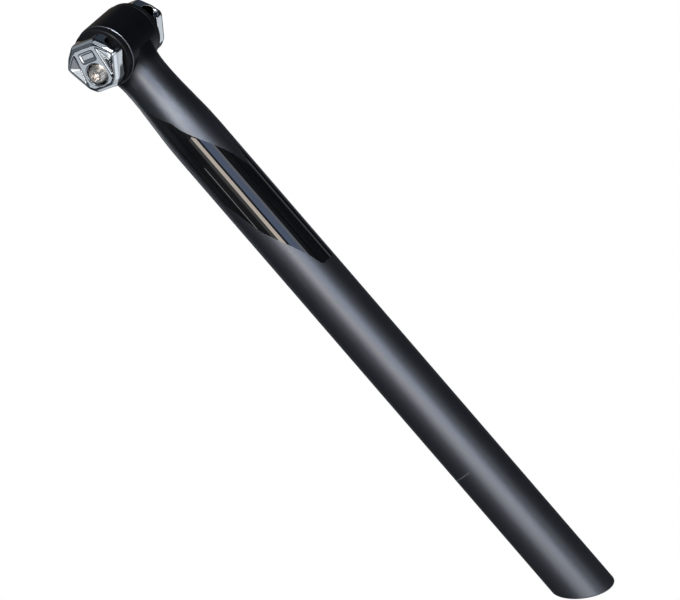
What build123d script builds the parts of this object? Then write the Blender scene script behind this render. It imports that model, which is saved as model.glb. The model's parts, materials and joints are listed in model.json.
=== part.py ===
from build123d import *

import os
from math import cos, radians, sin, sqrt, tan

# Bicycle seatpost: a one-piece carbon post with a single-bolt side clamp for the saddle rails.
# Millimetres. The origin is on the post's axis at the centre of its slanted lower end.
# +Z runs up the post, +X is the bicycle's front and +Y its left.
os.makedirs("parts", exist_ok=True)

# Post
POST_LENGTH = 400.0  # lower end's centre to the barrel's axis
TUBE_DIAMETER = 31.6
TUBE_WALL = 2.3
NECK_DIAMETER = 27.8
NECK_DROP = 27.0  # barrel axis to the thinnest place of the neck
BLEND_SHARES = (0.0, 0.15, 0.3, 0.45, 0.6, 0.75, 0.9)  # sections of the way from neck to barrel axis
BLEND_INSET = 0.2  # inside the barrel's end faces
BLEND_ROUNDING = 0.996  # corner radius of the first section, as a share of the neck's
TAPER_DROP = 70.0  # barrel axis to where the tube has its full diameter
CAVITY_DROP = 24.0  # barrel axis to the closed top of the hollow
END_SLANT = 33.0  # degrees, the long side of the lower end faces forward
END_ROUNDING = 0.6

# Barrel across the head
BARREL_DIAMETER = 36.4
BARREL_LENGTH = 29.0
BARREL_ROUNDING = 0.6
BORE_DIAMETER = 26.0  # at the barrel's ends
BORE_TAPER = 4.0  # degrees

# Saddle rails
RAIL_DIAMETER = 7.0
RAIL_SPACING = 44.0
RAIL_RISE = 6.9  # barrel axis to the rails, square to them
CLAMP_TILT = 15.0  # degrees, nose down on the post for a level saddle

# Inner clamps
PLUG_LENGTH = 10.0
PLUG_CLEARANCE = 0.05
FLANGE_STEP = 0.7  # flange inside the barrel's outline
FLANGE_GAP = 0.3
FLANGE_CHAMFER = 0.5
CRADLE_HEIGHT = 1.5  # out of the flange, under the rail
CRADLE_INSET = 1.0  # inside the outer clamp's outline

# Outer clamps, half outline about the bolt's centre line
OUTER_FACE = 28.7  # middle of the post to the clamp's outer face
PLATE_TOP = 14.5
PLATE_TOP_HALF = 8.0
SHOULDER_HALF = 14.2
SHOULDER_RISE = 8.6
SIDE_HALF = 18.4
SIDE_RISE = 2.6
HIP_HALF = 10.9
HIP_DROP = 12.2
PLATE_BOTTOM = 15.5
PLATE_BOTTOM_HALF = 6.8
PLATE_CORNER = 3.2
FACE_CHAMFER = 2.0
FACE_ROUNDING = 1.6  # of both edges of the chamfer
PARTING_GAP = 0.3  # between inner and outer clamp
LIP_GAP = 0.5  # outer clamp's top lip to the flange
MOUTH_RADIUS = 4.8  # of the flared ends of the rail groove
MOUTH_LENGTH = 1.3

# Relief of the outer clamps: a web between two faceted pockets
WEB_TOP_HALF = 7.6
WEB_BOTTOM_HALF = 9.2
POCKET_TOP = 10.0
POCKET_BOTTOM = 11.0
POCKET_RIM = 0.9
POCKET_EDGE = 2.2  # length of the pocket's outer edge
POCKET_DEPTH = 3.2
POCKET_DEEPEST_HALF = 10.2
POCKET_DEEPEST_RISE = 0.0
RECESS_WIDTH = 10.0
RECESS_HEIGHT = 5.6
RECESS_RISE = 6.0
RECESS_DEPTH = 0.8
RECESS_DRAFT = 45.0  # degrees
RECESS_CORNER = 1.0

# Bolt, washer and nut
BOLT_DIAMETER = 6.0
BOLT_DROP = 5.2  # barrel axis to the bolt
BOLT_CLEARANCE = 0.3
THREAD_CLEARANCE = 0.05
HEAD_DIAMETER = 11.6
HEAD_TIP_DIAMETER = 7.6
HEAD_HEIGHT = 5.2
HEAD_BASE = 1.4  # straight part of the head
HEAD_PROUD = 2.2
SOCKET_DIAMETER = 5.6
SOCKET_ROOT_DIAMETER = 4.0
SOCKET_LOBES = 6
SOCKET_DEPTH = 3.0
TIP_CHAMFER = 0.6
WASHER_DIAMETER = 12.0
WASHER_THICKNESS = 1.0
SEAT_CLEARANCE = 0.45
NUT_WIDTH = 10.0
NUT_HEIGHT = 4.4
NUT_SLEEVE_DIAMETER = 8.4
NUT_CLEARANCE = 0.1

# Directions and places of the tilted clamp
tube_r = TUBE_DIAMETER / 2
neck_r = NECK_DIAMETER / 2
barrel_r = BARREL_DIAMETER / 2
bore_r = BORE_DIAMETER / 2
rail_r = RAIL_DIAMETER / 2
bolt_r = BOLT_DIAMETER / 2
washer_r = WASHER_DIAMETER / 2
flange_r = barrel_r - FLANGE_STEP
half_barrel = BARREL_LENGTH / 2
half_rails = RAIL_SPACING / 2
head = Vector(0, 0, POST_LENGTH)
forward = Vector(cos(radians(CLAMP_TILT)), 0, -sin(radians(CLAMP_TILT)))
upward = Vector(sin(radians(CLAMP_TILT)), 0, cos(radians(CLAMP_TILT)))
rightward = Vector(0, -1, 0)
bolt_centre = head - upward * BOLT_DROP
barrel_axis = Axis(head, rightward)
bolt_axis = Axis(bolt_centre, rightward)

# Side views of the clamp, offset to the bicycle's right
clamp_side = Plane(origin=head, x_dir=forward, z_dir=rightward)
bolt_side = Plane(origin=bolt_centre, x_dir=forward, z_dir=rightward)
# Lengthwise section: x to the right of the bicycle, y away from the axis
barrel_section = Plane(origin=head, x_dir=rightward, z_dir=forward)
bolt_section = Plane(origin=bolt_centre, x_dir=rightward, z_dir=forward)
rail_centre = head + upward * RAIL_RISE + rightward * half_rails
rail_axis = Axis(rail_centre, forward)
rail_end = Plane(origin=rail_centre, x_dir=rightward, z_dir=forward)
rail_length = Plane(origin=rail_centre, x_dir=forward, z_dir=rightward)

flange_face = half_rails - rail_r
cradle_face = flange_face + CRADLE_HEIGHT
plate_face = cradle_face + PARTING_GAP
lip_face = flange_face + LIP_GAP
mouth_start = (SHOULDER_HALF + SIDE_HALF) / 2 - MOUTH_LENGTH
seat_face = OUTER_FACE + HEAD_PROUD - HEAD_HEIGHT - WASHER_THICKNESS
head_seat = seat_face + WASHER_THICKNESS
nut_seat = OUTER_FACE - NUT_HEIGHT
bolt_tip = OUTER_FACE

# Post: tube, neck and barrel in one moulding
neck_z = POST_LENGTH - NECK_DROP
taper_z = POST_LENGTH - TAPER_DROP
tube_foot = -TUBE_DIAMETER
tube_inner_r = tube_r - TUBE_WALL
neck_inner_r = neck_r - TUBE_WALL
cavity_top = POST_LENGTH - CAVITY_DROP
dome_z = cavity_top - neck_inner_r
bore_end_r = bore_r - PLUG_LENGTH * tan(radians(BORE_TAPER))
bore_end = half_barrel - PLUG_LENGTH
slant = radians(END_SLANT)
blend_half = half_barrel - BLEND_INSET

with BuildPart() as post:
    with BuildSketch(Plane.XZ):
        with BuildLine():
            Polyline((0, neck_z), (0, tube_foot), (tube_r, tube_foot), (tube_r, taper_z))
            Spline((tube_r, taper_z), (neck_r, neck_z), tangents=[(0, 1), (0, 1)])
            Line((neck_r, neck_z), (0, neck_z))
        make_face()
    revolve(axis=Axis.Z)
    # The round neck widens and grows square on its way into the barrel
    for share in BLEND_SHARES:
        with BuildSketch(Plane.XY.offset(neck_z + share * NECK_DROP)):
            RectangleRounded(
                2 * (neck_r + share**2 * (barrel_r - neck_r)),
                2 * (neck_r + share**2 * (blend_half - neck_r)),
                BLEND_ROUNDING * neck_r * (1 - share**3),
            )
    loft()
    with BuildSketch(barrel_section) as barrel_half:
        Rectangle(BARREL_LENGTH, barrel_r, align=(Align.CENTER, Align.MIN))
        fillet(barrel_half.vertices().group_by(Axis.Y)[-1], BARREL_ROUNDING)
    revolve(axis=barrel_axis)
    with BuildSketch(Plane.XZ):
        with BuildLine():
            Polyline((0, cavity_top), (0, tube_foot), (tube_inner_r, tube_foot), (tube_inner_r, taper_z))
            Spline((tube_inner_r, taper_z), (neck_inner_r, dome_z), tangents=[(0, 1), (0, 1)])
            CenterArc((0, dome_z), neck_inner_r, 0, 90)
        make_face()
    revolve(axis=Axis.Z, mode=Mode.SUBTRACT)
    with BuildSketch(barrel_section):
        with BuildLine():
            Polyline(
                (0, 0),
                (half_barrel, 0),
                (half_barrel, bore_r),
                (bore_end, bore_end_r),
                (0, bore_end_r),
                close=True,
            )
        make_face()
        mirror(about=Plane.YZ)
    revolve(axis=barrel_axis, mode=Mode.SUBTRACT)
    split(bisect_by=Plane(origin=(0, 0, 0), z_dir=(sin(slant), 0, cos(slant))), keep=Keep.TOP)
    fillet(post.faces().sort_by(Axis.Z)[0].edges(), END_ROUNDING)

# Side outlines that the clamps share
with BuildSketch() as plate_outline:
    with BuildLine():
        Polyline(
            (0, PLATE_TOP),
            (PLATE_TOP_HALF, PLATE_TOP),
            (SHOULDER_HALF, SHOULDER_RISE),
            (SIDE_HALF, SIDE_RISE),
            (HIP_HALF, -HIP_DROP),
            (PLATE_BOTTOM_HALF, -PLATE_BOTTOM),
            (0, -PLATE_BOTTOM),
        )
        mirror(about=Plane.YZ)
    make_face()
    fillet(plate_outline.vertices(), PLATE_CORNER)

with BuildSketch() as cradle_outline:
    add(plate_outline.sketch)
    offset(amount=-CRADLE_INSET, mode=Mode.REPLACE)
    with Locations((0, RAIL_RISE)):
        Rectangle(2 * SIDE_HALF, 2 * PLATE_BOTTOM, align=(Align.CENTER, Align.MAX), mode=Mode.INTERSECT)

# Inner clamps: a tapered plug in the barrel, a flange and a cradle under the rail
with BuildPart() as inner_clamp_right:
    with BuildSketch(barrel_section):
        with BuildLine():
            Polyline(
                (bore_end, 0),
                (bore_end, bore_end_r - PLUG_CLEARANCE),
                (half_barrel, bore_r - PLUG_CLEARANCE),
                (half_barrel + FLANGE_GAP, bore_r - PLUG_CLEARANCE),
                (half_barrel + FLANGE_GAP, flange_r),
                (flange_face, flange_r),
                (flange_face, 0),
                close=True,
            )
        make_face()
    revolve(axis=barrel_axis)
    rims = inner_clamp_right.edges().filter_by(GeomType.CIRCLE).group_by(SortBy.RADIUS)[-1]
    chamfer(rims, FLANGE_CHAMFER)
    with BuildSketch(clamp_side.offset(flange_face)):
        add(cradle_outline.sketch)
    extrude(amount=cradle_face - flange_face)
    with BuildSketch(rail_end):
        Circle(rail_r)
    extrude(amount=SIDE_HALF, both=True, mode=Mode.SUBTRACT)
    with BuildSketch(bolt_side):
        Circle(bolt_r + BOLT_CLEARANCE)
    extrude(amount=OUTER_FACE, mode=Mode.SUBTRACT)

with BuildPart() as inner_clamp_left:
    mirror(inner_clamp_right.part, about=Plane.XZ)

# Opening of one pocket, beside the web on the front half of the plate
pocket_side = SIDE_HALF - FACE_CHAMFER - POCKET_RIM
with BuildSketch(clamp_side.offset(OUTER_FACE)) as pocket_opening:
    with BuildLine():
        Polyline(
            (WEB_TOP_HALF, POCKET_TOP),
            (pocket_side, SIDE_RISE + POCKET_EDGE / 2),
            (pocket_side, SIDE_RISE - POCKET_EDGE / 2),
            (WEB_BOTTOM_HALF, -POCKET_BOTTOM),
            close=True,
        )
    make_face()
pocket_floor = clamp_side.offset(OUTER_FACE - POCKET_DEPTH)
deepest = pocket_floor.from_local_coords((POCKET_DEEPEST_HALF, POCKET_DEEPEST_RISE))
with BuildPart() as pockets:
    loft(sections=[pocket_opening.sketch.face(), Vertex(deepest)], ruled=True)
    mirror(about=Plane(origin=head, z_dir=forward))

# Outer clamps: forged plates round the rail, with a faceted pocket on each side of a web
with BuildPart() as clamp_forging:
    with BuildSketch(clamp_side.offset(plate_face)):
        add(plate_outline.sketch)
    extrude(amount=OUTER_FACE - plate_face)
    chamfer(clamp_forging.faces().sort_by(Axis.Y)[0].edges(), FACE_CHAMFER)
    chamfer_edges = clamp_forging.edges().group_by(Axis.Y)
    fillet(chamfer_edges[0] + chamfer_edges[2], FACE_ROUNDING)
    with BuildSketch(clamp_side.offset(lip_face)):
        add(plate_outline.sketch)
        with Locations((0, RAIL_RISE + rail_r)):
            Rectangle(2 * SIDE_HALF, PLATE_TOP, align=(Align.CENTER, Align.MIN), mode=Mode.INTERSECT)
    extrude(amount=plate_face - lip_face)
    with BuildSketch(rail_end):
        Circle(rail_r)
        Rectangle(half_rails, RAIL_DIAMETER, align=(Align.MAX, Align.CENTER))
    extrude(amount=SIDE_HALF, both=True, mode=Mode.SUBTRACT)
    with BuildSketch(rail_length):
        with BuildLine():
            Polyline(
                (mouth_start, 0),
                (mouth_start, rail_r),
                (mouth_start + MOUTH_LENGTH, MOUTH_RADIUS),
                (SIDE_HALF, MOUTH_RADIUS),
                (SIDE_HALF, 0),
                close=True,
            )
        make_face()
        mirror(about=Plane.YZ)
    revolve(axis=rail_axis, mode=Mode.SUBTRACT)
    add(pockets.part, mode=Mode.SUBTRACT)
    with BuildSketch(clamp_side.offset(OUTER_FACE)):
        with Locations((0, RECESS_RISE)):
            RectangleRounded(RECESS_WIDTH, RECESS_HEIGHT, RECESS_CORNER)
    extrude(amount=-RECESS_DEPTH, taper=RECESS_DRAFT, mode=Mode.SUBTRACT)
    with BuildSketch(bolt_side):
        Circle(bolt_r + BOLT_CLEARANCE)
    extrude(amount=OUTER_FACE, mode=Mode.SUBTRACT)

with BuildPart() as outer_clamp_right:
    add(clamp_forging.part)
    with BuildSketch(bolt_side.offset(seat_face)):
        Circle(washer_r + SEAT_CLEARANCE)
    extrude(amount=HEAD_HEIGHT, mode=Mode.SUBTRACT)

with BuildPart() as outer_clamp_left:
    mirror(clamp_forging.part, about=Plane.XZ)
    with BuildSketch(bolt_side.offset(-nut_seat)):
        RegularPolygon(NUT_WIDTH / 2 + NUT_CLEARANCE, 6, major_radius=False)
    extrude(amount=-NUT_HEIGHT, mode=Mode.SUBTRACT)
    with BuildSketch(bolt_side):
        Circle(NUT_SLEEVE_DIAMETER / 2 + NUT_CLEARANCE)
    extrude(amount=-OUTER_FACE, mode=Mode.SUBTRACT)

# Bolt with a tapered head and a six-lobed socket
with BuildPart() as clamp_bolt:
    with BuildSketch(bolt_section):
        with BuildLine():
            Polyline(
                (-bolt_tip, 0),
                (-bolt_tip, bolt_r - TIP_CHAMFER),
                (TIP_CHAMFER - bolt_tip, bolt_r),
                (head_seat, bolt_r),
                (head_seat, HEAD_DIAMETER / 2),
                (head_seat + HEAD_BASE, HEAD_DIAMETER / 2),
                (head_seat + HEAD_HEIGHT, HEAD_TIP_DIAMETER / 2),
                (head_seat + HEAD_HEIGHT, 0),
                close=True,
            )
        make_face()
    revolve(axis=bolt_axis)
    with BuildSketch(bolt_side.offset(head_seat + HEAD_HEIGHT)):
        Circle(SOCKET_ROOT_DIAMETER / 2)
        with PolarLocations(SOCKET_ROOT_DIAMETER / 2, SOCKET_LOBES):
            Circle((SOCKET_DIAMETER - SOCKET_ROOT_DIAMETER) / 2)
    extrude(amount=-SOCKET_DEPTH, mode=Mode.SUBTRACT)

with BuildPart() as bolt_washer:
    with BuildSketch(bolt_side.offset(seat_face)):
        Circle(washer_r)
        Circle(bolt_r + BOLT_CLEARANCE, mode=Mode.SUBTRACT)
    extrude(amount=WASHER_THICKNESS)

# Nut: its hexagon is held from turning by the left clamp
with BuildPart() as clamp_nut:
    with BuildSketch(bolt_side.offset(-nut_seat)):
        RegularPolygon(NUT_WIDTH / 2, 6, major_radius=False)
    extrude(amount=-NUT_HEIGHT)
    with BuildSketch(bolt_side.offset(-plate_face)):
        Circle(NUT_SLEEVE_DIAMETER / 2)
    extrude(amount=plate_face - nut_seat)
    with BuildSketch(bolt_side):
        Circle(bolt_r + THREAD_CLEARANCE)
    extrude(amount=-OUTER_FACE, mode=Mode.SUBTRACT)

pieces = {
    "post": post,
    "inner_clamp_right": inner_clamp_right,
    "inner_clamp_left": inner_clamp_left,
    "outer_clamp_right": outer_clamp_right,
    "outer_clamp_left": outer_clamp_left,
    "clamp_bolt": clamp_bolt,
    "bolt_washer": bolt_washer,
    "clamp_nut": clamp_nut,
}
for name, piece in pieces.items():
    piece.part.label = name
    export_step(piece.part, f"parts/{name}.step")
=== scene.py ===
# %% [markdown]
# # A carbon seatpost with a side clamp
#
# The solids of this seatpost come from its imported CAD model, at real size and in metres.
# This script gives them their finishes, puts softer copies in the place of the two forged
# clamps, and sets up a camera and a small studio. Nothing is moved. The first step loads the
# solids and notes the box that they fill, which sets the floor's height.

# %% Load the solids
import json
from math import cos, pi, radians, sin

import bpy
from mathutils import Matrix, Vector

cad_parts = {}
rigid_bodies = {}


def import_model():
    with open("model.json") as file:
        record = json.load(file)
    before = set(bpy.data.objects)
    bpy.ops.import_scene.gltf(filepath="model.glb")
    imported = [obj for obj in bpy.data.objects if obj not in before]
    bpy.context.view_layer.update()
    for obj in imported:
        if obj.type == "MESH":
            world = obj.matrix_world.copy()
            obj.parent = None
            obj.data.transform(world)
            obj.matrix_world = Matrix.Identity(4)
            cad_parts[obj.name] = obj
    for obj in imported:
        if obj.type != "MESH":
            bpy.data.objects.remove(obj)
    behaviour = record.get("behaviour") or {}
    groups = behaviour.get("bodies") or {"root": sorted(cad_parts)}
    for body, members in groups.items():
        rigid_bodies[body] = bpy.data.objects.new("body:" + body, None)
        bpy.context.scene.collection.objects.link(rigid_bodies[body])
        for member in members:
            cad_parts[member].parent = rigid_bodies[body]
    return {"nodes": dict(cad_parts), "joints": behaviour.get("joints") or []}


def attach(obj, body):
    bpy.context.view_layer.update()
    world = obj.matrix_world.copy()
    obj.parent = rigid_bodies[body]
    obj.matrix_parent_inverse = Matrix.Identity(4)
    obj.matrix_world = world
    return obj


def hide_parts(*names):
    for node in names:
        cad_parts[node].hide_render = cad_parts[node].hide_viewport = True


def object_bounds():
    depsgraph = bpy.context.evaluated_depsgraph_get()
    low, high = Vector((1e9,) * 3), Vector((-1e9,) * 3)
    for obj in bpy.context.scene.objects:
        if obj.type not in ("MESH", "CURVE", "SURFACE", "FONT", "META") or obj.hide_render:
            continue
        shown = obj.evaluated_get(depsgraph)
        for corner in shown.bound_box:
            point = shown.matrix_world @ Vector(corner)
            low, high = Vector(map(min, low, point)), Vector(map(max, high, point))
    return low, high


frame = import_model()
nodes = frame["nodes"]
cad_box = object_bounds()
print("solids:", sorted(nodes))

# %% [markdown]
# ## Camera
#
# The photograph was taken from far away with a long lens, a little above the post, and then
# turned so that the post lies across the picture. A camera can be aimed with a Track To
# constraint, but a constraint can't also roll by an exact angle. Here its three axes are worked
# out from an azimuth, an elevation and a roll, and written into its matrix.

# %% Camera
CAMERA_AZIMUTH = radians(39.09)
CAMERA_ELEVATION = radians(4.43)
CAMERA_ROLL = radians(40.78)
CAMERA_DISTANCE = 2.6929
POST_MIDDLE = Vector((0, 0, 0.2089))
ASIDE = -0.00064
RAISED = 0.0026
PICTURE_WIDTH_PX = 680
FOCAL_LENGTH_PX = 4820
SENSOR_WIDTH_MM = 36.0
VIEW_REACH = 50


def around(azimuth, elevation=0.0):
    """The direction from the post towards an azimuth and an elevation."""
    return Vector((sin(azimuth) * cos(elevation), -cos(azimuth) * cos(elevation), sin(elevation)))


def facing(back, roll=0.0):
    """The turn of a camera or a lamp that looks along -back, rolled about that line."""
    right = Vector((0, 0, 1)).cross(back).normalized()
    up = back.cross(right)
    turn = Matrix((right, up, back)).transposed()
    return turn.to_4x4() @ Matrix.Rotation(roll, 4, "Z")


camera_data = bpy.data.cameras.new("camera")
camera = bpy.data.objects.new("camera", camera_data)
bpy.context.scene.collection.objects.link(camera)
camera_data.sensor_width = SENSOR_WIDTH_MM
camera_data.lens = FOCAL_LENGTH_PX * SENSOR_WIDTH_MM / PICTURE_WIDTH_PX
camera_back = around(CAMERA_AZIMUTH, CAMERA_ELEVATION)
camera_turn = facing(camera_back, -CAMERA_ROLL)
camera_target = POST_MIDDLE + camera_turn @ Vector((ASIDE, RAISED, 0))
camera.matrix_world = Matrix.Translation(camera_target + camera_back * CAMERA_DISTANCE) @ camera_turn
camera_data.clip_end = VIEW_REACH
bpy.context.scene.camera = camera
print("lens in mm:", round(camera_data.lens, 1))

# %% [markdown]
# ## Shader maths
#
# Every finish below is made of nodes. Written one by one, even a short formula takes a page, so
# this small class wraps one output socket and lets Python's own operators add the Math nodes.
# One more method, `node`, adds any other kind of node, with its settings and its inputs.

# %% A socket that can be calculated with


class Field:
    """A value that changes over a surface: one output socket of a node tree."""

    def __init__(self, socket):
        self.socket = socket

    def node(self, kind, settings=None, inputs=None, output=0):
        """Adds any node to the same tree and returns one of its outputs.

        The setting "stops" is a list of places and colours for a colour ramp.
        """
        tree = self.socket.id_data
        made = tree.nodes.new(kind)
        for name, value in (settings or {}).items():
            if name == "stops":
                while len(made.color_ramp.elements) < len(value):
                    made.color_ramp.elements.new(1.0)
                for element, (place, colour) in zip(made.color_ramp.elements, value):
                    element.position = place
                    element.color = colour
            else:
                setattr(made, name, value)
        for name, value in (inputs or {}).items():
            if isinstance(value, Field):
                tree.links.new(value.socket, made.inputs[name])
            else:
                made.inputs[name].default_value = value
        return Field(made.outputs[output]) if made.outputs else None

    def maths(self, operation, *others):
        """The result of a Math node whose first value is this one."""
        inputs = dict(enumerate((self, *others)))
        return self.node("ShaderNodeMath", {"operation": operation}, inputs)

    def __add__(self, other):
        return self.maths("ADD", other)

    def __sub__(self, other):
        return self.maths("SUBTRACT", other)

    def __rsub__(self, other):
        return (self * -1.0) + other

    def __mul__(self, other):
        return self.maths("MULTIPLY", other)

    def __truediv__(self, other):
        return self.maths("DIVIDE", other)

    __radd__ = __add__
    __rmul__ = __mul__

    def step(self, start, end):
        """0 below start, 1 above end and a smooth rise between them."""
        return self.node(
            "ShaderNodeMapRange",
            {"interpolation_type": "SMOOTHSTEP"},
            {"Value": self, "From Min": start, "From Max": end},
        )

    def blend(self, low, high):
        """A colour that goes from low to high as this value goes from 0 to 1."""
        return self.node(
            "ShaderNodeMix", {"data_type": "RGBA"}, {"Factor": self, 6: low, 7: high}, output=2
        )


def new_finish(name):
    """An empty material, with the object coordinates of the surface as its first field."""
    material = bpy.data.materials.new(name)
    material.use_nodes = True
    tree = material.node_tree
    tree.nodes.clear()
    place = Field(tree.nodes.new("ShaderNodeTexCoord").outputs["Object"])
    return material, place


def show(shader):
    """Connects a shader to the output of its tree."""
    shader.node("ShaderNodeOutputMaterial", inputs={"Surface": shader})


def split(vector):
    """The three parts of a vector field."""
    parts = vector.node("ShaderNodeSeparateXYZ", inputs={"Vector": vector})
    return [Field(parts.socket.node.outputs[axis]) for axis in "XYZ"]


print("shader maths ready")

# %% [markdown]
# A few kinds of node come up in almost every finish, so each gets a short name here. Node groups
# could hold them as well, but a function is shorter to write and to read.

# %% Noise, bumps and shaders


def noise(place, scale, detail, roughness=0.5):
    """Cloudy noise between 0 and 1, finer for a larger scale."""
    return place.node(
        "ShaderNodeTexNoise",
        inputs={"Vector": place, "Scale": scale, "Detail": detail, "Roughness": roughness},
    )


def bump(height, strength, distance):
    """The normal of a surface that a height field roughens."""
    return height.node(
        "ShaderNodeBump",
        inputs={"Strength": strength, "Distance": distance, "Height": height},
        output="Normal",
    )


def wave(angle):
    """A sine that goes between 0 and 1."""
    return angle.maths("SINE") * 0.5 + 0.5


def principled(place, inputs):
    """Blender's general surface shader."""
    return place.node("ShaderNodeBsdfPrincipled", inputs=inputs)


def mix(share, first, second):
    """The first shader where share is 0 and the second where it is 1."""
    return share.node("ShaderNodeMixShader", inputs={0: share, 1: first, 2: second})


print("short names ready")

# %% [markdown]
# ## Studio
#
# The post hangs in a dim room. A white world all round would make black lacquer look grey, so
# the room is almost black, and only camera rays see white, which gives the clean background.
# Polished metal shows whatever it mirrors, so the room also has a few soft pale patches, each
# aimed where one group of the clamp's facets looks.

# %% World: a dim room with pale patches
ROOM_COLOUR = (0.013, 0.016, 0.022, 1.0)
FAR_ROOM_COLOUR = (0.010, 0.013, 0.019, 1.0)
# aim, where it starts and where it is full, as cosines of the angle to the aim, and colour
PATCHES = [
    (-around(CAMERA_AZIMUTH), 0.70, 0.82, (0.12, 0.13, 0.15, 1.0)),
    ((-0.37, -0.24, 0.90), 0.75, 0.95, (0.26, 0.28, 0.31, 1.0)),
    ((-0.51, 0.77, 0.38), 0.94, 0.985, (0.16, 0.14, 0.12, 1.0)),
    ((0.33, 0.77, 0.54), 0.95, 0.99, (0.035, 0.045, 0.06, 1.0)),
    (around(radians(-50), radians(28)), 0.80, 0.95, (0.10, 0.115, 0.13, 1.0)),
]
FAR_SIDE = (0.0, 1.0, 0.0)
FAR_START = -0.2
FAR_FULL = 0.5
WHITE = (1.0, 1.0, 1.0, 1.0)

world = bpy.data.worlds.new("studio")
bpy.context.scene.world = world
world.use_nodes = True
world.node_tree.nodes.clear()
direction = Field(world.node_tree.nodes.new("ShaderNodeTexCoord").outputs["Generated"])


def towards(aim):
    """1 for a ray that points along aim, 0 for one across it."""
    return direction.node(
        "ShaderNodeVectorMath", {"operation": "DOT_PRODUCT"}, {0: direction, 1: aim}, output="Value"
    )


room = towards(FAR_SIDE).step(FAR_START, FAR_FULL).blend(ROOM_COLOUR, FAR_ROOM_COLOUR)
for aim, start, full, colour in PATCHES:
    room = towards(aim).step(start, full).blend(room, colour)
camera_ray = direction.node("ShaderNodeLightPath", output="Is Camera Ray")
seen = camera_ray.blend(room, WHITE)
sky = seen.node("ShaderNodeBackground", inputs={"Color": seen, "Strength": 1.0})
sky.node("ShaderNodeOutputWorld", inputs={"Surface": sky})
print("pale patches in the room:", len(PATCHES))

# %% [markdown]
# ## Lamps
#
# Flat lamps stand in a ring round the post, and the camera doesn't see them. The high box and
# the foot panel give the satin coat its broad soft highlight. The strips and panels at the
# window's own height are mirrored in its gloss as sharp stripes: a warm one, a blue one and a
# few thin lines. The remaining panels and cards brighten the clamp's facets and the bolt. One
# lamp with a striped picture on it could make the same stripes, but separate lamps can be moved
# and dimmed one at a time. A lamp's power is worked out from its radiance and its area, so that
# it looks equally bright in a mirror when its size changes.

# %% Lamps
LAMP_DISTANCE = 1.5
# a place is the first and last degree round from the camera, and the bottom and top in metres
HIGH_PLACE = (-38.0, 31.0, 0.91, 1.27)
KEY_PLACE = (-20.5, -6.3, 0.08, 0.36)
FOOT_PLACE = (-6.0, 24.0, -0.20, 0.05)
# name: place, radiance, colour
LAMPS = {
    "high_box": (HIGH_PLACE, 37.0, (0.93, 0.96, 1.0)),
    "high_card": (HIGH_PLACE, 3.0, (0.93, 0.96, 1.0)),
    "bolt_card": (HIGH_PLACE, 42.0, (1.0, 0.96, 0.91)),
    "upper_panel": ((-41.0, 40.0, 1.45, 2.3), 0.5, (0.85, 0.92, 1.0)),
    "key_strip": (KEY_PLACE, 6.2, (1.0, 0.88, 0.77)),
    "key_card": (KEY_PLACE, 2.2, (1.0, 0.98, 0.96)),
    "cool_panel": ((1.5, 25.0, 0.08, 0.36), 1.8, (0.48, 0.63, 1.0)),
    "edge_strip": ((25.0, 34.5, 0.08, 0.36), 1.6, (0.80, 0.86, 1.0)),
    "foot_panel": (FOOT_PLACE, 4.3, (0.92, 0.96, 1.0)),
    "foot_card": (FOOT_PLACE, 1.1, (0.95, 0.98, 1.0)),
    "middle_panel": ((-14.0, 8.0, 0.52, 0.80), 0.9, (0.95, 0.98, 1.0)),
    "step_panel": ((-33.5, -20.5, 0.08, 0.36), 0.45, (1.0, 0.98, 0.96)),
    "low_panel": ((-58.0, -16.0, 0.08, 0.26), 0.03, (1.0, 0.97, 0.93)),
    "left_line": ((-61.5, -58.5, 0.08, 0.26), 2.3, (1.0, 0.98, 0.95)),
    "right_line": ((111.5, 116.5, 0.08, 0.36), 0.40, (0.92, 0.94, 1.0)),
    "fill_panel": ((-92.0, -66.0, 0.25, 0.46), 0.55, (0.88, 0.94, 1.0)),
    "side_panel": ((-152.0, -129.0, 0.30, 0.52), 1.0, (0.92, 0.96, 1.0)),
    "front_card": ((-40.0, 0.0, -0.45, 0.05), 1.3, (0.95, 0.98, 1.0)),
    "right_card": ((2.0, 18.0, -0.42, -0.20), 1.0, (0.95, 0.98, 1.0)),
    "far_right_card": ((32.0, 56.0, -0.30, -0.10), 1.0, (0.95, 0.98, 1.0)),
}

for name, (lamp_place, radiance, colour) in LAMPS.items():
    first, last, bottom, top = lamp_place
    lamp_data = bpy.data.lights.new(name, "AREA")
    lamp_data.shape = "RECTANGLE"
    lamp_data.size = LAMP_DISTANCE * radians(last - first)
    lamp_data.size_y = top - bottom
    lamp_data.energy = radiance * pi * lamp_data.size * lamp_data.size_y
    lamp_data.color = colour
    lamp = bpy.data.objects.new(name, lamp_data)
    bpy.context.scene.collection.objects.link(lamp)
    back = around(CAMERA_AZIMUTH + radians((first + last) / 2))
    centre = Vector((0, 0, (bottom + top) / 2)) + back * LAMP_DISTANCE
    lamp.matrix_world = Matrix.Translation(centre) @ facing(back)
    lamp.visible_camera = False
print("lamps:", list(LAMPS))

# %% [markdown]
# ## Floor
#
# The post is held up, as a frame would hold it, so the floor lies clear below its lower end.
# It is a plain plane that looks white to the camera, takes a faint shadow near the post and
# fades into the white backdrop further out. The polished clamps mirror it as well, and a floor
# that is white all over would leave them without dark faces. So in a mirror it shows a painted
# pool of light: it glows white round the post and more dimly in a sweep in front of it, and it is
# grey paper elsewhere. A painted picture could do that too. Here the edge of the painted pool of
# light is worked out from the distance and the direction from the post.

# %% Floor
FLOOR_DROP = 0.6
FLOOR_SIZE = 8.0
FLOOR_CELLS = 8

bpy.ops.object.select_all(action="DESELECT")
bpy.ops.mesh.primitive_grid_add(
    x_subdivisions=FLOOR_CELLS,
    y_subdivisions=FLOOR_CELLS,
    size=FLOOR_SIZE,
    location=(0, 0, cad_box[0][2] - FLOOR_DROP),
)
floor = bpy.context.object
floor.name = "floor"
print("floor at", round(floor.location.z, 3))
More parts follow.
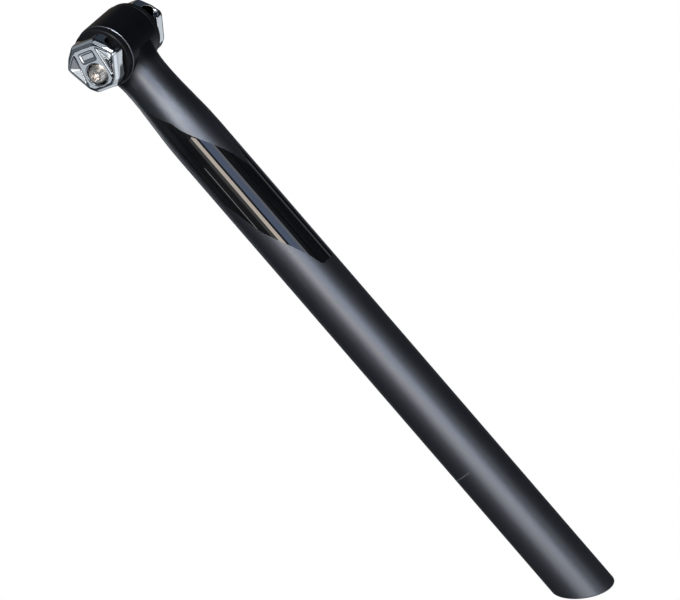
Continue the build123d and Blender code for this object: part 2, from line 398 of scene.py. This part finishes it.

# %% Painted pool of light round the post
POOL_FRONT = 1.1
POOL_BACK = 1.8
POOL_SIDES = 0.38
POOL_EDGE = 0.75
# cosines of the angle to the camera's side, where a change starts and where it is full
POOL_TURN = (-0.3, 0.6)
SWEEP_TURN = (0.2, 0.7)
SWEEP_SHARE = 0.3
# keeps the division from failing on the post's own axis
NOT_ZERO = 0.001

pale, pale_place = new_finish("pale_floor")
floor_x, floor_y, _ = split(pale_place)
from_post = (floor_x * floor_x + floor_y * floor_y).maths("SQRT")
front = around(CAMERA_AZIMUTH)
in_front = (floor_x * front.x + floor_y * front.y) / (from_post + NOT_ZERO)
reach = in_front.step(*POOL_TURN) * (POOL_FRONT - POOL_BACK) + POOL_BACK
along_view = in_front * in_front * (1 - POOL_SIDES) + POOL_SIDES
# painted light: in a mirror the floor glows white in this pool round the post, and more dimly in the
# sweep in front
light_pool = along_view * (1 - (from_post / reach).step(POOL_EDGE, 1.0))
light_pool = light_pool + in_front.step(*SWEEP_TURN) * (1 - light_pool) * SWEEP_SHARE
print("pool reaches", POOL_FRONT, "to", POOL_BACK)

# %% Floor finish
PAPER_GREY = (0.25, 0.25, 0.26, 1.0)
LIGHT_POOL_COLOUR = (0.88, 0.94, 1.0, 1.0)
SHADOW_SHARE = 0.02
SHADOW_FADES = 1.0
SHADOW_GONE = 3.0

paper = pale_place.node("ShaderNodeBsdfDiffuse", inputs={"Color": PAPER_GREY})
to_camera = pale_place.node("ShaderNodeLightPath", output="Is Camera Ray")
to_gloss = pale_place.node("ShaderNodeLightPath", output="Is Glossy Ray")
# the glow is the white backdrop for camera rays and the painted pool of light for glossy rays
glow_colour = to_camera.blend(LIGHT_POOL_COLOUR, WHITE)
glow = pale_place.node("ShaderNodeEmission", inputs={"Color": glow_colour, "Strength": 1.0})
shadow_share = (1 - from_post.step(SHADOW_FADES, SHADOW_GONE)) * SHADOW_SHARE
white_share = to_camera * (1 - shadow_share) + to_gloss * light_pool
show(mix(white_share, paper, glow))
floor.data.materials.append(pale)
print("floor finish made")

# %% [markdown]
# ## Carbon of the post
#
# The post is one carbon moulding. Most of it has a satin black coat. The head's coat is darker
# and smoother, with a rubbed rim round each end of the barrel. Round the front there is a window
# where the bare carbon shows under clear gloss lacquer, and a thin line round the back marks
# how far the post has to go into the frame. The window could be a separate thin shell, but a
# lacquer has no thickness to speak of, so all of this is one material: masks worked out from
# the height and the angle round the tube mix its finishes.

# %% Window mask
MM = 0.001
# degrees from the front, height in millimetres
WINDOW_TOP = [
    (0, 301), (15, 313), (31, 322), (49, 331),
    (65, 340), (75, 348), (96, 356.6), (112, 363),
]
WINDOW_BOTTOM = [
    (0, 233.8), (22, 233.8), (26, 235.3), (34, 242.8),
    (55, 255.8), (78, 269.3), (96, 286.8), (112, 299),
]
WINDOW_LOWEST = 230.0
WINDOW_REACH = 135.0
WINDOW_END = 105.4
HALF_TURN = 180.0
EDGE_SOFTNESS = 0.15
END_SOFTNESS = 0.5
# radii in millimetres: the mask leaves out the neck's hollow, but not the tube's wider one
SKIN_INSIDE = 13.2
SKIN_OUTSIDE = 13.3

carbon, place = new_finish("carbon")
across, sideways, height = split(place)
sideways_size = sideways.maths("ABSOLUTE")
from_front = sideways_size.maths("ARCTAN2", across) * (HALF_TURN / pi)
height_mm = height / MM


def window_edge(points):
    """The height of an edge of the window, in millimetres, by the angle from the front."""
    stops = []
    for angle, level in points:
        share = (level - WINDOW_LOWEST) / WINDOW_REACH
        stops.append((angle / HALF_TURN, (share, share, share, 1.0)))
    share = from_front.node("ShaderNodeValToRGB", {"stops": stops}, {"Fac": from_front / HALF_TURN})
    return share * WINDOW_REACH + WINDOW_LOWEST


below_top = (window_edge(WINDOW_TOP) - height_mm).step(-EDGE_SOFTNESS, EDGE_SOFTNESS)
above_bottom = (height_mm - window_edge(WINDOW_BOTTOM)).step(-EDGE_SOFTNESS, EDGE_SOFTNESS)
before_end = (WINDOW_END - from_front).step(-END_SOFTNESS, END_SOFTNESS)
radius_squared = across * across + sideways * sideways
outer_skin = radius_squared.step((SKIN_INSIDE * MM) ** 2, (SKIN_OUTSIDE * MM) ** 2)
window = below_top * above_bottom * before_end * outer_skin
print("window edges:", len(WINDOW_TOP), len(WINDOW_BOTTOM))

# %% Insertion line
LINE_HEIGHT = 92.0
LINE_HALF_WIDTH = 0.25
LINE_SOFTNESS = 0.1
LINE_START = 76.0
LINE_FULL = 79.0

line_distance = (height_mm - LINE_HEIGHT).maths("ABSOLUTE")
on_line = (LINE_HALF_WIDTH - line_distance).step(0.0, LINE_SOFTNESS)
insertion_line = on_line * from_front.step(LINE_START, LINE_FULL)
print("insertion line at mm:", LINE_HEIGHT)

# %% Smoother head and the rubbed rim of its barrel
BARREL_HEIGHT = 400.0
NECK_START = 325.0
NECK_FULL = 360.0
HEAD_START = 377.0
HEAD_FULL = 386.0
RIM_START = 13.85
RIM_RADIUS = 17.5
RIM_END = 18.3
RIM_SOFTNESS = 0.1

above_axis = height - BARREL_HEIGHT * MM
barrel_radius = (across * across + above_axis * above_axis).maths("SQRT") / MM
at_end = (sideways_size / MM).step(RIM_START, RIM_START + RIM_SOFTNESS)
outside_rim = barrel_radius.step(RIM_RADIUS, RIM_RADIUS + RIM_SOFTNESS)
inside_rim = 1 - barrel_radius.step(RIM_END, RIM_END + RIM_SOFTNESS)
rim = at_end * outside_rim * inside_rim
neck = height_mm.step(NECK_START, NECK_FULL)
head = height_mm.step(HEAD_START, HEAD_FULL)
print("head starts at mm:", HEAD_START)

# %% Satin coat
SATIN_BLACK = (0.0016, 0.0018, 0.0024, 1.0)
SATIN_LIGHTER = (0.0028, 0.0031, 0.0038, 1.0)
SATIN_TINT = (0.86, 0.90, 1.0, 1.0)
LINE_GREY = (0.09, 0.10, 0.11, 1.0)
SATIN_ROUGHNESS = 0.355
CLOUD_ROUGHER = 0.03
NECK_SMOOTHER = 0.035
RIM_SMOOTHER = 0.02

cloud = noise(place, scale=60.0, detail=4.0)
grain = noise(place, scale=2600.0, detail=2.0)
satin_colour = insertion_line.blend(cloud.blend(SATIN_BLACK, SATIN_LIGHTER), LINE_GREY)
satin_bump = bump(grain, strength=0.05, distance=0.00005)
satin = principled(place, {
    "Base Color": satin_colour,
    "Roughness": SATIN_ROUGHNESS + CLOUD_ROUGHER * cloud - NECK_SMOOTHER * neck - RIM_SMOOTHER * rim,
    "IOR": 1.7,
    "Specular IOR Level": 1.0,
    "Specular Tint": SATIN_TINT,
    "Normal": satin_bump,
})
print("satin coat made")

# %% Darker coat of the head
HEAD_ROUGHNESS = 0.30
HEAD_CLOUD_ROUGHER = 0.05

head_coat = principled(place, {
    "Base Color": satin_colour,
    "Roughness": HEAD_ROUGHNESS + HEAD_CLOUD_ROUGHER * cloud,
    "Specular IOR Level": 0.18,
    "Normal": satin_bump,
})
coat = mix(head * (1 - rim), satin, head_coat)
print("head coat made")

# %% Glossy carbon
FIBRE_DARK = (0.0008, 0.0008, 0.001, 1.0)
FIBRE_LIGHT = (0.006, 0.006, 0.0064, 1.0)
FIBRE_STRETCH = (1800.0, 1800.0, 14.0)
FIBRE_START = 0.35
FIBRE_FULL = 0.75
CARBON_ROUGHNESS = 0.35
FIBRE_ROUGHER = 0.2

along_fibres = place.node("ShaderNodeMapping", inputs={"Vector": place, "Scale": FIBRE_STRETCH})
fibres = noise(along_fibres, scale=1.0, detail=5.0, roughness=0.7)
lacquer = principled(place, {
    "Base Color": fibres.step(FIBRE_START, FIBRE_FULL).blend(FIBRE_DARK, FIBRE_LIGHT),
    "Roughness": CARBON_ROUGHNESS + FIBRE_ROUGHER * fibres,
    "Specular IOR Level": 0.03,
    "Coat Weight": 1.0,
    "Coat Roughness": 0.015,
    "Coat IOR": 1.7,
})
show(mix(window, coat, lacquer))
print("carbon finish made")

# %% [markdown]
# ## Black inner clamps
#
# The inner clamps are aluminium with a black anodised skin: dark, a little metallic, with a
# fine matt grain. A dark plastic would look flat beside the polished outer clamps, so the
# colour stays dark but the metal keeps some of its shine.

# %% Black anodised finish
BLACK_DARK = (0.003, 0.003, 0.0035, 1.0)
BLACK_LIGHT = (0.007, 0.007, 0.008, 1.0)
BLACK_ROUGHNESS = 0.40
BLACK_CLOUD_ROUGHER = 0.1

black_alloy, place = new_finish("black_alloy")
grain = noise(place, scale=1800.0, detail=3.0)
cloud = noise(place, scale=140.0, detail=3.0)
show(principled(place, {
    "Base Color": cloud.blend(BLACK_DARK, BLACK_LIGHT),
    "Metallic": 0.1,
    "Roughness": BLACK_ROUGHNESS + BLACK_CLOUD_ROUGHER * cloud,
    "Specular IOR Level": 0.12,
    "Normal": bump(grain, strength=0.08, distance=0.00005),
}))
print("black anodised finish made")

# %% [markdown]
# ## Polished outer clamps
#
# The outer clamps are forged and then polished by tumbling, so their faces are bright but not
# quite flat. A mirror with no unevenness looks like computer chrome. A faint, slow bump bends
# the reflections, and the roughness changes a little from place to place. The seat round the
# bolt is painted nearly black, as painted shade for its wall, and is rougher there.

# %% Distances from the bolt
bolt_joint = [joint for joint in frame["joints"] if joint["name"] == "bolt_turn"][0]
bolt_x, _, bolt_z = bolt_joint["pos_m"]


def about_bolt(point):
    """Where a point lies beside, along and above the bolt's axis, and how far from that axis."""
    across, sideways, height = split(point)
    off_x = across - bolt_x
    off_z = height - bolt_z
    return off_x, sideways, off_z, (off_x * off_x + off_z * off_z).maths("SQRT")


print("bolt's axis at", round(bolt_x, 5), round(bolt_z, 5))

# %% Polished forging
SEAT_EDGE = 0.0064
SEAT_SOFTNESS = 0.0003
# colour of the painted shade: the bolt's seat is painted nearly black where its wall lies in shade
SEAT_PAINTED_SHADE = (0.05, 0.045, 0.04, 1.0)
ALLOY_DARK = (0.72, 0.74, 0.76, 1.0)
ALLOY_LIGHT = (0.84, 0.86, 0.88, 1.0)
ALLOY_ROUGHNESS = 0.06
RUB_ROUGHER = 0.05
SEAT_ROUGHER = 0.3

polished_alloy, place = new_finish("polished_alloy")
# painted shade: the seat round the bolt's axis is painted nearly black, and it is also rougher
seat_painted_shade = (SEAT_EDGE - about_bolt(place)[3]).step(0.0, SEAT_SOFTNESS)
swell = noise(place, scale=160.0, detail=2.0)
rub = noise(place, scale=900.0, detail=5.0)
show(principled(place, {
    "Base Color": seat_painted_shade.blend(rub.blend(ALLOY_DARK, ALLOY_LIGHT), SEAT_PAINTED_SHADE),
    "Metallic": 1.0,
    "Roughness": ALLOY_ROUGHNESS + RUB_ROUGHER * rub + SEAT_ROUGHER * seat_painted_shade,
    "Normal": bump(swell, strength=0.03, distance=0.0004),
}))
print("polished finish made")

# %% [markdown]
# ## Soft edges of the forgings
#
# Tumbling wears the edges of a forging round, and a round edge catches a thin line of light. The
# solids are crisp there. A Bevel modifier could round them, but the pockets' edges meet at odd
# angles, where its bevels would overlap. So each outer clamp is copied, remeshed into small even
# faces and smoothed, which rounds every edge by about the same small amount.

# %% Even faces, smoothed
JAWS = {"outer_clamp_right": "right_jaw", "outer_clamp_left": "left_jaw"}
VOXEL = 0.00025
SMOOTHING_ROUNDS = 16


def pick(piece):
    """Makes a piece the only one that Blender's operators work on."""
    bpy.ops.object.select_all(action="DESELECT")
    piece.select_set(True)
    bpy.context.view_layer.objects.active = piece


forgings = {}
for name in JAWS:
    piece = bpy.data.objects.new(name + "_soft", nodes[name].data.copy())
    bpy.context.scene.collection.objects.link(piece)
    pick(piece)
    bpy.ops.object.modifier_add(type="REMESH")
    piece.modifiers["Remesh"].voxel_size = VOXEL
    bpy.ops.object.modifier_apply(modifier="Remesh")
    bpy.ops.object.modifier_add(type="SMOOTH")
    piece.modifiers["Smooth"].iterations = SMOOTHING_ROUNDS
    bpy.ops.object.modifier_apply(modifier="Smooth")
    bpy.ops.object.shade_smooth()
    forgings[name] = piece
    print(piece.name, "faces:", len(piece.data.polygons))

# %% [markdown]
# The bevel round the outside is blunter still in the photograph. More smoothing all over would
# wash the pockets out, so only the bevel's own vertices are picked, by where they lie and which
# way they face. The pick then grows over the bevel's edges and is smoothed once more.

# %% Blunt rims
CLAMP_HEIGHT = 0.400
RIM_FROM_AXIS = 0.0125
RIM_FROM_MIDDLE = 0.0245
OUTWARD_LEAST = 0.2
SIDEWAYS_LEAST = 0.15
SIDEWAYS_MOST = 0.97
RIM_GROWTH = 4
RIM_ROUNDS = 30
RIM_FACTOR = 0.5


def on_rim(vertex):
    """True on the bevel round the outside of a forging, which faces outwards and sideways."""
    away = Vector((vertex.co.x, 0, vertex.co.z - CLAMP_HEIGHT))
    if away.length < RIM_FROM_AXIS or abs(vertex.co.y) < RIM_FROM_MIDDLE:
        return False
    outward = vertex.normal.dot(away.normalized())
    return outward > OUTWARD_LEAST and SIDEWAYS_LEAST < abs(vertex.normal.y) < SIDEWAYS_MOST


for piece in forgings.values():
    pick(piece)
    bpy.ops.object.mode_set(mode="EDIT")
    bpy.ops.mesh.select_mode(type="VERT")
    bpy.ops.mesh.select_all(action="DESELECT")
    bpy.ops.object.mode_set(mode="OBJECT")
    for vertex in piece.data.vertices:
        vertex.select = on_rim(vertex)
    bpy.ops.object.mode_set(mode="EDIT")
    for _ in range(RIM_GROWTH):
        bpy.ops.mesh.select_more()
    bpy.ops.mesh.vertices_smooth(factor=RIM_FACTOR, repeat=RIM_ROUNDS)
    bpy.ops.object.mode_set(mode="OBJECT")
    print(piece.name, "rim vertices:", sum(vertex.select for vertex in piece.data.vertices))

# %% [markdown]
# Each soft forging takes the place of its solid and rides on the same jaw, so that it moves when
# the bolt is loosened.

# %% Put the forgings in place
for name, body in JAWS.items():
    piece = forgings[name]
    piece.data.materials.clear()
    piece.data.materials.append(polished_alloy)
    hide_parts(name)
    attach(piece, body)
    print(piece.name, "rides on", body)

# %% [markdown]
# ## Bolt, washer and nut
#
# The bolt is turned from stainless steel, which is warmer and duller than the polished alloy.
# Turning leaves fine rings round the bolt's own axis, so the rings are worked out from the
# distance to that axis. The shank's thread is a fine bump along the axis.

# %% Turned steel
THREAD_PITCH = 0.001
BOLT_HEAD_START = 0.0250
HEAD_SOFTNESS = 0.0004
SHANK_RADIUS = 0.0032
SHANK_SOFTNESS = 0.0001
RING_FREQUENCY = 14000.0
RING_HEIGHT = 0.008
STEEL_DARK = (0.60, 0.57, 0.54, 1.0)
STEEL_LIGHT = (0.74, 0.71, 0.68, 1.0)
STEEL_ROUGHNESS = 0.24
DUST_ROUGHER = 0.1

bolt_steel, place = new_finish("bolt_steel")
off_x, sideways, off_z, ring_radius = about_bolt(place)
rings = wave(ring_radius * RING_FREQUENCY)
turn_angle = off_z.maths("ARCTAN2", off_x) / (2 * pi)
thread = wave((sideways / THREAD_PITCH + turn_angle) * (2 * pi))
behind_head = (sideways + BOLT_HEAD_START).step(0.0, HEAD_SOFTNESS)
on_shank = behind_head * (SHANK_RADIUS - ring_radius).step(0.0, SHANK_SOFTNESS)
relief = rings * (1 - on_shank) * RING_HEIGHT + thread * on_shank
dust = noise(place, scale=700.0, detail=4.0)
show(principled(place, {
    "Base Color": dust.blend(STEEL_DARK, STEEL_LIGHT),
    "Metallic": 1.0,
    "Roughness": STEEL_ROUGHNESS + DUST_ROUGHER * dust,
    "Normal": bump(relief, strength=0.6, distance=0.0003),
}))
print("steel finish made")

# %% [markdown]
# ## Dress the solids
#
# Each remaining solid keeps its shape and place. Only the material in its slot is exchanged.

# %% Dress the solids
FINISHES = {
    "post": carbon,
    "inner_clamp_right": black_alloy,
    "inner_clamp_left": black_alloy,
    "clamp_bolt": bolt_steel,
    "bolt_washer": bolt_steel,
    "clamp_nut": bolt_steel,
}
for name, finish in FINISHES.items():
    mesh = nodes[name].data
    if not mesh.materials:
        mesh.materials.append(finish)
    for index in range(len(mesh.materials)):
        mesh.materials[index] = finish
print("dressed:", len(FINISHES))

# %% [markdown]
# ## Lamps for some pieces only
#
# The high box and the strips have to be bright to show on black satin and in clear lacquer. A
# polished edge that mirrors them turns into a row of hard white dots. The panel that fills the
# clamp's web would show in the post's window as a grey band. A photographer keeps such light off
# a piece with a small flag on a stand. Light linking does the same here: the bright lamps miss
# the bare metal, which has dimmer cards in three of the same places, and the fill panel reaches
# only the metal. The steel of the bolt is duller than the forgings and has a card of its own.

# %% Flags
BRIGHT_LAMPS = ["high_box", "key_strip", "cool_panel", "edge_strip", "foot_panel", "left_line"]
METAL_LAMPS = ["high_card", "key_card", "foot_card", "fill_panel"]
STEEL_NODES = ["clamp_bolt", "bolt_washer", "clamp_nut"]

steel_pieces = [nodes[name] for name in STEEL_NODES]
metal_pieces = list(forgings.values()) + steel_pieces
dark_pieces = [nodes[name] for name in FINISHES if name not in STEEL_NODES] + [floor]


def reach_only(lamp_names, pieces, group_name):
    """Lets some lamps reach only some pieces."""
    reached = bpy.data.collections.new(group_name)
    for piece in pieces:
        reached.objects.link(piece)
    for name in lamp_names:
        bpy.data.objects[name].light_linking.receiver_collection = reached
    print(len(lamp_names), "lamps reach", [piece.name for piece in pieces])


reach_only(BRIGHT_LAMPS, dark_pieces, "dark_pieces")
reach_only(METAL_LAMPS, metal_pieces, "metal_pieces")
reach_only(["bolt_card"], steel_pieces, "steel_pieces")

# %% [markdown]
# ## Finish
#
# The view transform is Standard, so that colours show as they are written.

# %% Finish
bpy.context.scene.view_settings.view_transform = "Standard"
